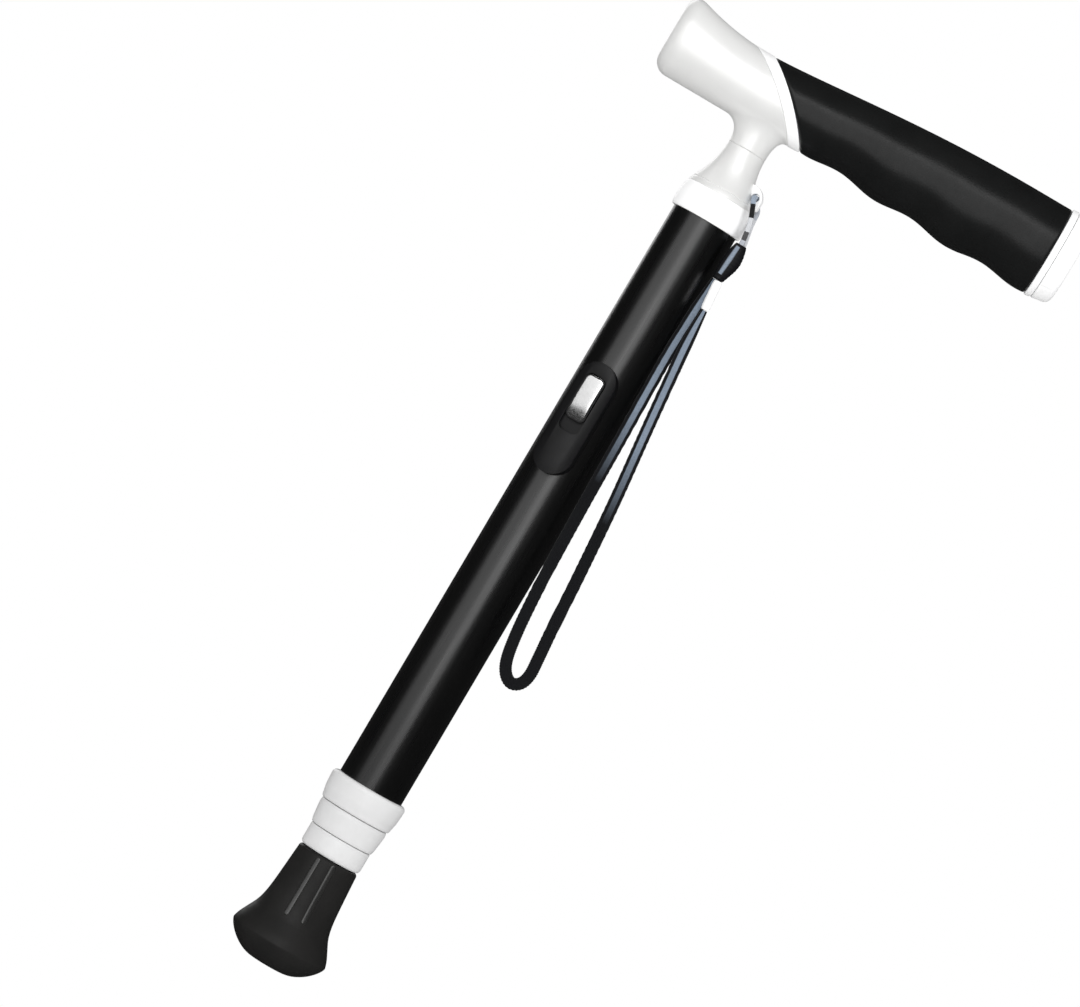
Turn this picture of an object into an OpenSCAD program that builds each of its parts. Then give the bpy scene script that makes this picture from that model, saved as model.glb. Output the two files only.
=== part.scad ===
// Folding walking stick with a T-shaped handle, shown closed up.
// Four tubes slide into each other and lock with a twist; a wrist strap hangs from the neck.
// The shaft stands on +Z, the grip points to +X and the release slider faces -Y.

/* [Shaft] */
// outer diameter of the top tube
tube_d = 24; // [20:0.5:28]
// wall thickness of every tube
tube_wall = 1.2; // [0.8:0.1:2]
// radial gap between one tube and the next one inside it
tube_gap = 0.3; // [0.2:0.05:0.6]
// height of the top tube's upper end
tube_top_z = 301; // [250:1:340]
// depth of each inner tube's end below the one around it
step_down = 25; // [20:1:30]

/* [Collars] */
// height of the lowest collar's lower face, where the rubber tip ends
collar_3_z = 42; // [35:0.5:50]
// height of the lowest collar
collar_3_h = 7.8; // [6:0.1:12]
// height of the middle collar
collar_2_h = 9.3; // [6:0.1:12]
// height of the top collar
collar_1_h = 10.5; // [6:0.1:14]
// outer diameter of the top collar at its widest
collar_1_d = 28.3; // [25:0.1:32]
// outer diameter of the middle collar
collar_2_d = 25.5; // [22:0.1:28]
// outer diameter of the lowest collar
collar_3_d = 22.9; // [19:0.1:25]
// gap between collars, and between the lowest collar and the tip
collar_gap = 0.25; // [0.1:0.05:0.6]

/* [Rubber tip] */
// diameter of the tip at its widest
tip_d = 36; // [28:1:44]
// height of the tip's widest line
tip_wide_z = 8.5; // [5:0.5:12]
// diameter of the flat face on the ground
tip_flat_d = 14; // [12:1:24]
// diameter of the tip's upper end
tip_neck_d = 22.4; // [22:0.1:26]

/* [Handle] */
// height of the handle's underside at the head
head_low_z = 329.2; // [310:0.5:350]
// height of the handle's upper side where head and grip meet
head_top_z = 353.7; // [335:0.5:370]
// distance from the shaft's axis to the end of the head
head_reach = 42.6; // [30:0.5:60]
// distance from the shaft's axis to the end of the rubber grip
grip_reach = 105.8; // [80:0.5:130]
// distance from the shaft's axis to the outer face of the end cap
handle_reach = 114.7; // [90:0.5:140]
// rise of the grip's upper side towards its end
grip_rise = 6.5; // [0:0.5:12]
// depth of the finger hollows
finger_depth = 1.65; // [0:0.05:4]
// distance between finger hollows
finger_pitch = 28.3; // [22:0.1:34]
// width of the white band between head and grip
band_w = 3.7; // [2:0.1:8]

/* [Neck] */
// height of the line where the neck meets the head's stub
neck_seam_z = 321.2; // [315:0.1:326]
// diameter of the neck at that line
neck_d = 14.1; // [10:0.1:16]
// largest diameter of the upper collar
upper_collar_d = 26.8; // [26.5:0.1:30]
// height of the upper collar
upper_collar_h = 10; // [6:0.1:16]

/* [Release slider] */
// turn of the slider's housing around the shaft, away from the front
slider_turn = 17; // [0:1:45]
// width of the chrome slider
slider_w = 7.6; // [6:0.1:10]
// corner radius of the chrome slider
slider_corner = 2.2; // [1:0.1:3]
// height of the chrome slider
slider_h = 17; // [10:0.5:24]
// height of the slider's upper end when closed
slider_top_z = 229; // [150:1:260]
// travel of the slider
slider_travel = 4; // [2:0.5:6]

/* [Wrist strap] */
// width of the webbing
strap_w = 4.4; // [3:0.1:4.6]
// thickness of the webbing
strap_t = 1.5; // [0.8:0.1:3]
// diameter of the leader cord through the lug
leader_d = 1.8; // [1.5:0.1:2.4]

/* [Hidden] */
fine = 96;
eps = 0.01;
// the four tubes, from the top one to the lowest
radii = [for (i = [0:3]) tube_d / 2 - i * (tube_wall + tube_gap)];
bores = [for (r = radii) r - tube_wall];
// lower ends of the tubes: inside the collars, and on the washer in the tip
collar_2_z = collar_3_z + collar_3_h;
collar_1_z = collar_2_z + collar_2_h;
shaft_z = collar_1_z + collar_1_h;
lip_h = 1.8;
washer_z = 9.5;
washer_h = 1.5;
lows = [collar_1_z + lip_h, collar_2_z + lip_h, collar_3_z + lip_h, washer_z + washer_h];
// upper ends of the tubes, each with its plug and expander above it
plug_deep = 9;
flange_h = 1.2;
expander_h = 11;
top_plug_low_z = 281;
tops = [tube_top_z, for (i = [0:2]) top_plug_low_z - 17 - i * step_down];
bearing = 0.06;
sliding = 0.08;
stud_r = 3;
slit_w = 1.2;
groove_h = 3.5;
groove_deep = 0.5;
// neck and top plug
neck_z = tube_top_z + 2.3;
bolt_r = 4;
bolt_head_r = 6.4;
bolt_top_z = 347;
// the handle's cut-off curve between head and grip: an arc about an axis along Y
arc_r = 101.5;
arc_x = -67.6;
arc_z = 271.4;
// sections of the handle
ring_n = 40;
round_power = 2.2;
saddle_x = -9;
// the core bar inside the grip
core_w = 15;
core_low_z = 335;
core_top_z = 348.5;
core_end_x = grip_reach;
ring_w = 2.4;
cap_round = 3.2;
// the slider's housing, in its own turned frame with -Y outward
housing_r = 15.6;
housing_w = 14;
housing_low_z = 192;
housing_top_z = 234;
pocket_w = 10.2;
pocket_y = 13.9;
pocket_low_z = 196;
pocket_top_z = 231.5;
foot_y = 13;
leaf_y = 12.3;
leaf_t = 0.4;
tooth_z = 219.5;
tooth_h = 2.5;
rivet_z = 200;
spring_x = 3.95;
spring_y = 12.75;
spring_r = 0.75;
spring_wire = 0.2;
// lower end of the slider's plate, which closes the window under the thumb piece
plate_z = slider_top_z - slider_h - slider_travel - 0.5;
// the lug on the neck and the strap's fittings
lug_turn = 15;
lug_t = 3;
eye_x = 11.3;
eye_z = 308.8;
eye_r = 1.35;
keeper_low_z = 278;
keeper_high_z = 292.3;
bead_low_z = 267;
bead_lean = 5;
// route of the leader: up from the keeper, through the lug's eye and back down
leader_path = [
    [14.4, -8.9, 292.3], [14.4, -8.9, 293.3], [13.9, -9.4, 297.2], [12.9, -9.5, 301.5],
    [11.3, -8.4, 305.6], [10.2, -6, 308.3], [10.9, -2.9, 308.8], [11.7, 0.3, 308.5],
    [13.7, 0.3, 305.2], [14, -1.6, 302.6], [14.3, -4.2, 299.4], [14.9, -6.2, 296],
    [15.4, -7.2, 293.3], [15.4, -7.2, 292.3]
];
// route of the strap: down from the keeper's lower end, round the loop and up to the bead
strap_path = [
    [12.8, -7.5, 277.9], [12.6, -7.5, 268], [12.1, -7.6, 250], [12.3, -8.3, 235],
    [12.8, -9.3, 215], [13.3, -10.2, 190], [14.1, -11, 165], [15, -11.2, 150],
    [16.1, -11.3, 139], [17.6, -11.3, 131], [19.9, -11.3, 126.6], [23, -11.3, 124.9],
    [25.8, -11.3, 126.5], [27, -11.3, 130.5], [26.6, -11.3, 137], [25.6, -11.1, 148],
    [24.2, -10.9, 168], [21.9, -10.7, 195], [18.9, -10.5, 222], [16.7, -10.2, 243],
    [15.8, -10, 252], [15.3, -10, 260], [15.1, -10, 266.8]
];

silver = [0.86, 0.86, 0.84];
white = [0.93, 0.93, 0.93];
black = [0.05, 0.05, 0.055];
dark = [0.12, 0.12, 0.12];
steel = [0.7, 0.71, 0.73];
brass = [0.78, 0.63, 0.33];
grey_blue = [0.45, 0.53, 0.6];

// ---------- shared forms ----------

function lerp(a, b, t) = a + (b - a) * t;

// a round piece about the shaft's axis from [radius, height] points, with a through bore
module turned(points, bore = 0) {
    rotate_extrude($fn = fine)
        difference() {
            polygon(concat([[0, points[0][1]]], points, [[0, points[len(points) - 1][1]]]));
            if (bore > 0)
                translate([-1, points[0][1] - 50])
                    square([bore + 1, 400]);
        }
}

module ring(outer, inner, low, high) {
    translate([0, 0, low])
        difference() {
            cylinder(r = outer, h = high - low, $fn = fine);
            translate([0, 0, -1])
                cylinder(r = inner, h = high - low + 2, $fn = fine);
        }
}

// points of an arc about (x, z), for outlines
function arc(x, z, r, from, to, n) =
    [for (i = [0:n]) [x + r * cos(lerp(from, to, i / n)), z + r * sin(lerp(from, to, i / n))]];

function unit(v) = v / norm(v);
function bend(p, i) = unit(p[min(i + 1, len(p) - 1)] - p[max(i - 1, 0)]);

// a closed form through rings of points, each ring with the same count
module skin(rows) {
    n = len(rows[0]);
    last = (len(rows) - 1) * n;
    polyhedron(
        points = [for (row = rows) for (p = row) p],
        faces = concat(
            [[for (k = [n - 1:-1:0]) k]],
            [for (i = [0:len(rows) - 2]) for (k = [0:n - 1])
                [i * n + k, (i + 1) * n + (k + 1) % n, (i + 1) * n + k]],
            [for (i = [0:len(rows) - 2]) for (k = [0:n - 1])
                [i * n + k, i * n + (k + 1) % n, (i + 1) * n + (k + 1) % n]],
            [[for (k = [0:n - 1]) last + k]]
        )
    );
}

// a flat or round cord swept along its route; the flat side faces the front
module swept_cord(path, w, t, sides) {
    skin([for (i = [0:len(path) - 1])
        let (
            tangent = bend(path, i),
            across = unit(cross(tangent, [0.001, 1, 0.001])),
            out = cross(across, tangent)
        )
        [for (k = [0:sides - 1])
            path[i] + across * (w / 2 * cos(360 * k / sides)) + out * (t / 2 * sin(360 * k / sides))]
    ]);
}

// ---------- handle ----------

function swell(t) = (1 - cos(180 * pow(max(0, min(1, t)), 0.72))) / 2;
function upper_line(x) = x < saddle_x - 2
    ? head_top_z + 0.0057 * pow(x - saddle_x + 2, 2)
    : head_top_z + grip_rise * swell((x - saddle_x) / 102);
function crest_line(x) = head_low_z + 0.8 - 0.04 * (min(x, 79) - 16);
function lower_line(x) = x < 16
    ? lerp(head_low_z, head_low_z + 0.8, max(0, x + 5) / 21)
    : crest_line(x) + finger_depth * (1 - cos(360 * (x - 17) / finger_pitch)) / 2;
function half_width(x) = x < 0
    ? lerp(13, 14, max(0, -x - 10) / 30)
    : lerp(13, 15, min(1, x / 100));

function power(v) = sign(v) * pow(abs(v), 2 / round_power);
function section(x, grow, inset) =
    let (
        low = lower_line(x) - grow + inset,
        high = upper_line(x) + grow - inset,
        wide = half_width(x) + grow - inset
    )
    [for (k = [0:ring_n - 1])
        [x, wide * power(cos(360 * k / ring_n)),
            (low + high) / 2 - (high - low) / 2 * power(sin(360 * k / ring_n))]];

// the handle's bar from x0 to x1, with its ends rounded over by r0 and r1
module handle_bar(x0, x1, grow = 0, r0 = 0, r1 = 0, steps = 24) {
    ends = 6;
    start = r0 > 0
        ? [for (i = [0:ends - 1]) [x0 + r0 * (1 - cos(90 * i / ends)), r0 * (1 - sin(90 * i / ends))]]
        : [];
    finish = r1 > 0
        ? [for (i = [ends - 1:-1:0]) [x1 - r1 * (1 - cos(90 * i / ends)), r1 * (1 - sin(90 * i / ends))]]
        : [];
    middle = [for (i = [0:steps]) [lerp(x0 + r0, x1 - r1, i / steps), 0]];
    stations = concat(start, middle, finish);
    skin([for (s = stations) section(s[0], grow, s[1] * 0.9)]);
}

module cut_off(r) {
    translate([arc_x, 0, arc_z])
        rotate([90, 0, 0])
            cylinder(r = r, h = 60, center = true, $fn = 180);
}

module core_space() {
    translate([-14, -core_w / 2, core_low_z])
        cube([core_end_x + 14, core_w, core_top_z - core_low_z]);
}

// the stub under the head: round at the seam, then spread along the handle by a fillet
module head_stub() {
    stub_r = neck_d / 2;
    fillet = 6;
    foot_z = head_low_z + 0.7 - fillet;
    steps = 8;
    arcs = [for (i = [0:steps])
        let (a = 84 * i / steps)
        [stub_r + fillet * (1 - cos(a)), stub_r + 0.35 * fillet * (1 - cos(a)), foot_z + fillet * sin(a)]];
    ovals = concat([[stub_r, stub_r, neck_seam_z]], arcs,
        [[arcs[steps][0], arcs[steps][1], head_low_z + 7]]);
    skin([for (o = ovals) [for (k = [0:47]) [o[0] * cos(7.5 * k), -o[1] * sin(7.5 * k), o[2]]]]);
}

module handle_head() {
    color(silver)
        difference() {
            intersection() {
                union() {
                    handle_bar(-head_reach, 30, r0 = 6, steps = 20);
                    head_stub();
                }
                cut_off(arc_r - band_w);
            }
            core_space();
            translate([0, 0, neck_seam_z - 1])
                cylinder(r = bolt_r, h = core_low_z - neck_seam_z + 2, $fn = fine);
        }
}

module trim_band() {
    color(white)
        difference() {
            intersection() {
                handle_bar(-30, 30, grow = 0.15, steps = 20);
                cut_off(arc_r);
            }
            cut_off(arc_r - band_w);
            core_space();
        }
}

module grip_sleeve() {
    color(black)
        difference() {
            handle_bar(-16, grip_reach, grow = -0.05, steps = 40);
            cut_off(arc_r);
            core_space();
        }
}

module end_ring() {
    color(white)
        difference() {
            handle_bar(grip_reach, grip_reach + ring_w, grow = 0.5, steps = 2);
            translate([grip_reach + ring_w / 2, 0, (core_low_z + core_top_z) / 2])
                rotate([0, 90, 0])
                    cylinder(r = 5, h = ring_w * 2, center = true, $fn = 64);
        }
}

module end_cap() {
    x0 = grip_reach + ring_w;
    mid_z = (core_low_z + core_top_z) / 2;
    color(white)
        difference() {
            handle_bar(x0, handle_reach, grow = 0.6, r1 = cap_round, steps = 3);
            translate([x0 - 1, 0, mid_z])
                rotate([0, 90, 0])
                    cylinder(r = 2.2, h = 20, $fn = 48);
            translate([handle_reach - 2.6, 0, mid_z])
                rotate([0, 90, 0])
                    cylinder(r = 4.4, h = 10, $fn = 48);
        }
}

module cap_screw() {
    mid_z = (core_low_z + core_top_z) / 2;
    color(steel)
        translate([0, 0, mid_z])
            rotate([0, 90, 0])
                difference() {
                    union() {
                        translate([0, 0, core_end_x - 14])
                            cylinder(r = 2, h = handle_reach - 2.6 - core_end_x + 14, $fn = 48);
                        translate([0, 0, handle_reach - 2.6])
                            cylinder(r = 4, h = 1.9, $fn = 48);
                    }
                    translate([0, 0, handle_reach - 1.6])
                        cylinder(r = 1.7, h = 2, $fn = 6);
                }
}

module handle_core() {
    mid_z = (core_low_z + core_top_z) / 2;
    color(dark)
        difference() {
            core_space();
            translate([core_end_x - 14, 0, mid_z])
                rotate([0, 90, 0])
                    cylinder(r = 2, h = 20, $fn = 48);
            translate([0, 0, core_low_z - 1])
                cylinder(r = bolt_r, h = bolt_top_z - core_low_z + 1, $fn = fine);
        }
}

// ---------- neck ----------

// the neck's outside: a lip that carries on the collar's slope, then a waist that narrows upwards
function neck_outline() =
    let (foot_z = neck_z + 2.2)
    concat(
        [[12.3, neck_z], [12.25, neck_z + 0.4], [11.75, neck_z + 1.6], [11.6, neck_z + 2]],
        [for (i = [0:14])
            [neck_d / 2 + 4.46 * pow(1 - i / 14, 2), lerp(foot_z, neck_seam_z, i / 14)]]
    );

module neck_flare() {
    color(silver)
        turned(neck_outline(), bolt_r);
}

module neck_bolt() {
    color(steel)
        union() {
            translate([0, 0, top_plug_low_z + 2])
                cylinder(r = bolt_head_r, h = 6, $fn = 6);
            translate([0, 0, top_plug_low_z + 8])
                cylinder(r = bolt_r, h = bolt_top_z - top_plug_low_z - 8, $fn = fine);
        }
}

module top_plug() {
    color(dark)
        difference() {
            union() {
                translate([0, 0, top_plug_low_z])
                    cylinder(r = bores[0], h = tube_top_z - top_plug_low_z, $fn = fine);
                translate([0, 0, tube_top_z])
                    cylinder(r = radii[0], h = neck_z - tube_top_z, $fn = fine);
            }
            translate([0, 0, top_plug_low_z - 1])
                cylinder(r = 7.6, h = 9, $fn = 64);
            translate([0, 0, top_plug_low_z + 7])
                cylinder(r = bolt_r, h = 40, $fn = fine);
        }
}

module upper_collar() {
    low = neck_z - upper_collar_h;
    wide = upper_collar_d / 2;
    color(white)
        turned(concat(
            [[wide - 0.45, low], [wide - 0.1, low + 0.7]],
            [for (i = [0:6]) [wide - 1.05 * pow(i / 6, 2.6), lerp(low + 2.2, neck_z, i / 6)]]
        ), radii[0]);
}

// ---------- tubes, collars and twist locks ----------

module tube(i) {
    ring(radii[i], bores[i], lows[i], tops[i]);
}

module outer_tube() {
    color(black)
        difference() {
            tube(0);
            at_slider()
                union() {
                    translate([-2.4, -14, tooth_z - 0.5])
                        cube([4.8, 6, tooth_h + 1]);
                    translate([0, 0, rivet_z])
                        rotate([90, 0, 0])
                            cylinder(r = 1, h = 20, $fn = 32);
                }
        }
}

module tube_2() {
    color(black)
        difference() {
            tube(1);
            translate([0, 0, tooth_z + tooth_h / 2])
                ring(radii[1] + 1, radii[1] - groove_deep, -groove_h / 2, groove_h / 2);
        }
}

module tube_3() {
    color(black)
        tube(2);
}

module tube_4() {
    color(black)
        tube(3);
}

// a collar pressed onto a tube's lower end, with a lip that guides the next tube
module collar(i, low, outline) {
    color(white)
        difference() {
            turned(outline, radii[i + 1] + bearing);
            translate([0, 0, low + lip_h])
                cylinder(r = radii[i], h = 40, $fn = fine);
        }
}

module collar_1() {
    r = collar_1_d / 2;
    low = collar_1_z;
    collar(0, low, concat(
        [[r - 1.4, low], [r - 1.05, low + 0.3], [r - 0.9, low + 0.9]],
        [for (i = [0:6]) [r - 0.8 * pow(1 - i / 6, 1.6), lerp(low + 1.8, shaft_z - 2.6, i / 6)]],
        arc(r - 0.9, shaft_z - 1.7, 0.9, 0, 90, 4),
        [[12.7, shaft_z - 0.3], [12.5, shaft_z]]
    ));
}

module collar_2() {
    r = collar_2_d / 2;
    low = collar_2_z + collar_gap / 2;
    high = collar_1_z - collar_gap;
    collar(1, collar_2_z, concat(
        [[r - 1.5, low], [r - 1, low + 0.5]],
        [for (i = [0:5]) [r - 0.85 * pow(1 - i / 5, 1.7), lerp(low + 0.9, high - 1.4, i / 5)]],
        arc(r - 0.7, high - 0.7, 0.7, 0, 80, 4)
    ));
}

module collar_3() {
    r = collar_3_d / 2;
    low = collar_3_z;
    high = collar_2_z - collar_gap / 2;
    collar(2, low, concat(
        [[r - 1.3, low]],
        arc(r - 1.3, low + 1.2, 1.2, -78, 0, 5),
        [[r, high - 1.2]],
        arc(r - 0.6, high - 0.6, 0.6, 0, 80, 3)
    ));
}

// the plug in an inner tube's upper end
module lock_plug(i) {
    color(dark)
        difference() {
            union() {
                translate([0, 0, tops[i] - plug_deep])
                    cylinder(r = bores[i], h = plug_deep, $fn = fine);
                translate([0, 0, tops[i]])
                    cylinder(r = radii[i], h = flange_h, $fn = fine);
            }
            translate([0, 0, tops[i] - plug_deep - 1])
                cylinder(r = stud_r, h = plug_deep + flange_h + 2, $fn = 64);
        }
}

// the wedge-headed stud that spreads the expander when the tube is twisted
module lock_stud(i) {
    low = tops[i] - plug_deep + 2;
    high = tops[i] + flange_h + 0.4 + expander_h + 1.2;
    color(brass)
        rotate_extrude($fn = 64)
            polygon([[0, low], [stud_r, low], [stud_r, high - 6.6], [stud_r + 1.5, high - 0.6],
                [stud_r + 0.9, high], [0, high]]);
}

// the slit sleeve that grips the bore of the tube around it
module lock_expander(i) {
    low = tops[i] + flange_h + 0.4;
    high = low + expander_h;
    outer = bores[i - 1] - sliding;
    color(white)
        difference() {
            rotate_extrude($fn = fine)
                polygon([[stud_r + 0.3, low], [outer - 0.6, low], [outer, low + 0.8],
                    [outer, high - 0.8], [outer - 0.6, high], [stud_r + 1.9, high],
                    [stud_r + 0.3, high - 6.2]]);
            for (a = [0:90:270])
                rotate([0, 0, a])
                    translate([0, -slit_w / 2, low + 3])
                        cube([20, slit_w, expander_h]);
        }
}

// ---------- release slider and storage latch ----------

module at_slider() {
    rotate([0, 0, -slider_turn])
        children();
}

// an upright plate with round ends, from y0 outward to y1
module slab(w, low, high, y0, y1) {
    translate([0, -y0, 0])
        rotate([90, 0, 0])
            linear_extrude(y1 - y0)
                union() {
                    translate([-w / 2, low + w / 2])
                        square([w, high - low - w]);
                    for (z = [low + w / 2, high - w / 2])
                        translate([0, z])
                            circle(d = w, $fn = 64);
                }
}

// an upright plate with rounded corners, from y0 outward to y1
module cornered(w, low, high, y0, y1, r) {
    translate([0, -y0, 0])
        rotate([90, 0, 0])
            linear_extrude(y1 - y0)
                union() {
                    translate([-w / 2, low + r])
                        square([w, high - low - 2 * r]);
                    translate([r - w / 2, low])
                        square([w - 2 * r, high - low]);
                    for (x = [r - w / 2, w / 2 - r])
                        for (z = [low + r, high - r])
                            translate([x, z])
                                circle(r = r, $fn = 64);
                }
}

module slider_housing() {
    window_w = slider_w + 0.4;
    color(black)
        at_slider()
            difference() {
                intersection() {
                    slab(housing_w, housing_low_z, housing_top_z, 8, 20);
                    ring(housing_r, radii[0], housing_low_z - 1, housing_top_z + 1);
                }
                translate([-pocket_w / 2, -pocket_y, pocket_low_z])
                    cube([pocket_w, 6, pocket_top_z - pocket_low_z]);
                cornered(window_w, slider_top_z - slider_h - slider_travel - 0.3,
                    slider_top_z + 0.3, 12, 20, slider_corner + 0.2);
            }
}

module release_slider() {
    low = slider_top_z - slider_h;
    color(steel)
        at_slider()
            union() {
                translate([-pocket_w / 2 + 0.15, -pocket_y + 0.1, plate_z])
                    cube([pocket_w - 0.3, pocket_y - 0.1 - foot_y, slider_top_z - plate_z]);
                intersection() {
                    cornered(slider_w, low, slider_top_z, foot_y + 0.4, 20, slider_corner);
                    translate([0, 0, low - 1])
                        cylinder(r = housing_r + 1.3, h = slider_h + 2, $fn = fine);
                }
                translate([-1.8, -foot_y - 0.2, slider_top_z - 2.6])
                    cube([3.6, 1, 2.6]);
            }
}

module latch_leaf() {
    color(steel)
        at_slider()
            difference() {
                union() {
                    translate([-2.2, -leaf_y - leaf_t, rivet_z - 3])
                        cube([4.4, leaf_t, tooth_z + tooth_h - rivet_z + 3]);
                    translate([-2, -leaf_y - leaf_t, tooth_z])
                        cube([4, leaf_y + leaf_t - 10.2, tooth_h]);
                    translate([-1.6, -leaf_y - leaf_t, tooth_z + tooth_h - eps])
                        cube([3.2, leaf_t, 3]);
                }
                translate([0, 0, rivet_z])
                    rotate([90, 0, 0])
                        cylinder(r = 1, h = 20, $fn = 32);
            }
}

module latch_rivet() {
    color(steel)
        at_slider()
            translate([0, 0, rivet_z])
                rotate([90, 0, 0])
                    union() {
                        translate([0, 0, bores[0] + 0.2])
                            cylinder(r = 1, h = leaf_y + leaf_t - bores[0] - 0.2, $fn = 32);
                        translate([0, 0, leaf_y + leaf_t])
                            cylinder(r = 1.8, h = 0.6, $fn = 32);
                    }
}

module return_springs() {
    low = pocket_low_z + spring_wire;
    high = plate_z - spring_wire;
    turns = 6;
    per_turn = 9;
    path = [for (i = [0:turns * per_turn])
        let (a = 360 * i / per_turn)
        [spring_r * cos(a), spring_r * sin(a), lerp(low, high, i / (turns * per_turn))]];
    color(steel)
        at_slider()
            for (x = [-spring_x, spring_x])
                translate([x, -spring_y, 0])
                    swept_cord(path, 2 * spring_wire, 2 * spring_wire, 5);
}

// ---------- rubber tip ----------

module rubber_tip() {
    flat = tip_flat_d / 2;
    wide = tip_d / 2;
    neck = tip_neck_d / 2;
    high = collar_3_z - collar_gap;
    color(dark)
        difference() {
            union() {
                turned(concat(
                    [[flat, 0]],
                    [for (i = [1:8])
                        [flat + (wide - flat) * pow(sin(90 * i / 8), 1.25),
                            tip_wide_z * (1 - pow(cos(90 * i / 8), 1.43))]],
                    [[wide - 0.25, tip_wide_z + 1], [wide - 1.6, tip_wide_z + 4.2]],
                    [for (i = [0:10])
                        [neck + 1.75 * (1 - i / 10) + 1.3 * pow(1 - i / 10, 7),
                            lerp(tip_wide_z + 8.4, high - 0.6, i / 10)]],
                    [[neck - 0.6, high]]
                ));
                for (a = [-16, 11])
                    rotate([0, 0, a])
                        hull() {
                            translate([0, -neck + 0.1, high - 2])
                                sphere(r = 0.75, $fn = 24);
                            translate([0, -neck - 1.3, tip_wide_z + 11.5])
                                sphere(r = 0.75, $fn = 24);
                        }
            }
            translate([0, 0, washer_z])
                cylinder(r = radii[3], h = 60, $fn = fine);
            for (r = [2.4, 4.8])
                ring(r + 0.9, r, -1, 0.8);
        }
}

module tip_washer() {
    color(steel)
        translate([0, 0, washer_z])
            cylinder(r = radii[3] - 0.05, h = washer_h, $fn = 64);
}

// ---------- wrist strap ----------

module strap_lug() {
    reach = 13.9;
    low = neck_z + 1.2;
    high = 312.6;
    color(white)
        difference() {
            rotate([0, 0, -lug_turn])
                translate([0, lug_t / 2, 0])
                    rotate([90, 0, 0])
                        linear_extrude(lug_t)
                            difference() {
                                union() {
                                    translate([6, low])
                                        square([reach - 6, high - low - 4.5]);
                                    translate([6, low])
                                        square([reach - 6 - 4.5, high - low]);
                                    translate([reach - 4.5, high - 4.5])
                                        circle(r = 4.5, $fn = 64);
                                }
                                translate([eye_x, eye_z])
                                    circle(r = eye_r, $fn = 48);
                            }
            turned(neck_outline());
        }
}

module strap_leader() {
    color(grey_blue)
        swept_cord(leader_path, leader_d, leader_d, 8);
}

module strap_keeper() {
    mid = [14.6, -8.7];
    color(black)
        intersection() {
            hull() {
                for (s = [[0, 0.4, 1.2, 2.1], [0.3, 0, 9, 2.8], [0, 0.6, 13.3, 2], [-1.2, 0, 1.2, 1.9],
                    [-0.7, 0, 11.8, 2.1]])
                    translate([mid[0] + s[0], mid[1] + s[1], keeper_low_z + s[2]])
                        scale([1, 0.9, 1])
                            sphere(r = s[3], $fn = 24);
            }
            translate([0, -30, keeper_low_z])
                cube([40, 60, keeper_high_z - keeper_low_z]);
        }
}

module strap_bead() {
    color(white)
        translate([15.05, -10, bead_low_z])
            rotate([0, -bead_lean, 0])
                rotate_extrude($fn = 48)
                    polygon([[0, 0], [1.2, 0], [1.6, 0.5], [1.6, 10.3], [1.2, 10.8], [0, 10.8]]);
}

module strap_loop() {
    color(grey_blue)
        swept_cord(strap_path, strap_w, strap_t, 8);
}

handle_head();
trim_band();
grip_sleeve();
end_ring();
end_cap();
cap_screw();
handle_core();
neck_flare();
neck_bolt();
top_plug();
upper_collar();
outer_tube();
collar_1();
slider_housing();
release_slider();
latch_leaf();
latch_rivet();
return_springs();
lock_expander(1);  // expander_2
tube_2();
lock_plug(1);  // plug_2
lock_stud(1);  // stud_2
collar_2();
lock_expander(2);  // expander_3
tube_3();
lock_plug(2);  // plug_3
lock_stud(2);  // stud_3
collar_3();
lock_expander(3);  // expander_4
tube_4();
lock_plug(3);  // plug_4
lock_stud(3);  // stud_4
tip_washer();
rubber_tip();
strap_lug();
strap_leader();
strap_keeper();
strap_bead();
strap_loop();
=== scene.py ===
from math import atan2, copysign, cos, exp, hypot, pi, radians, sin, sqrt, tau

import bmesh
import bpy
from mathutils import Matrix, Vector


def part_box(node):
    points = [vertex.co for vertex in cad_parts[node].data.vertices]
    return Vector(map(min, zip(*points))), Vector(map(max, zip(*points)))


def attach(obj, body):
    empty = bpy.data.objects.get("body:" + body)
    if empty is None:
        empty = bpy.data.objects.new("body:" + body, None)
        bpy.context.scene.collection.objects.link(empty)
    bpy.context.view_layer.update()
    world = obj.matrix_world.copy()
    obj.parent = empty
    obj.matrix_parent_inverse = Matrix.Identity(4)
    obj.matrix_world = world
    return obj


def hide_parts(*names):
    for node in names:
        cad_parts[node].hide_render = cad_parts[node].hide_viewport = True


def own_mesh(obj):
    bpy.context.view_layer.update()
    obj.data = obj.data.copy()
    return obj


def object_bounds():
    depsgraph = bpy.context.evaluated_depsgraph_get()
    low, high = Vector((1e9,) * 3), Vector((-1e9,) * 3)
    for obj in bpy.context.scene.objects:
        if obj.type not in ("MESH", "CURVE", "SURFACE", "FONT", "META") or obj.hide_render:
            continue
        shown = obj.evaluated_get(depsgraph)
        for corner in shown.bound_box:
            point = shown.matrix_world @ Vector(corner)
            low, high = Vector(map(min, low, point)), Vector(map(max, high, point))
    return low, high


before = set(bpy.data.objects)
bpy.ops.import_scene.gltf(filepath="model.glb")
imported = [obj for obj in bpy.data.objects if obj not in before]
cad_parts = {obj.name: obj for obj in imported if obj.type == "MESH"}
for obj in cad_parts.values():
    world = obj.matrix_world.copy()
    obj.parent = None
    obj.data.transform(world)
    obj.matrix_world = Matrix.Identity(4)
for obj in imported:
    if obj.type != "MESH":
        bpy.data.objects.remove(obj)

CAD_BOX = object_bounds()
MM = 0.001
STICK = "stick"
ROUND = 144                 # points round a turned piece


def add(name, data):
    """A new object in the scene."""
    made = bpy.data.objects.new(name, data)
    bpy.context.scene.collection.objects.link(made)
    return made


def between(a, b, t):
    """From a to b as t goes from 0 to 1."""
    return a + (b - a) * t


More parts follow.
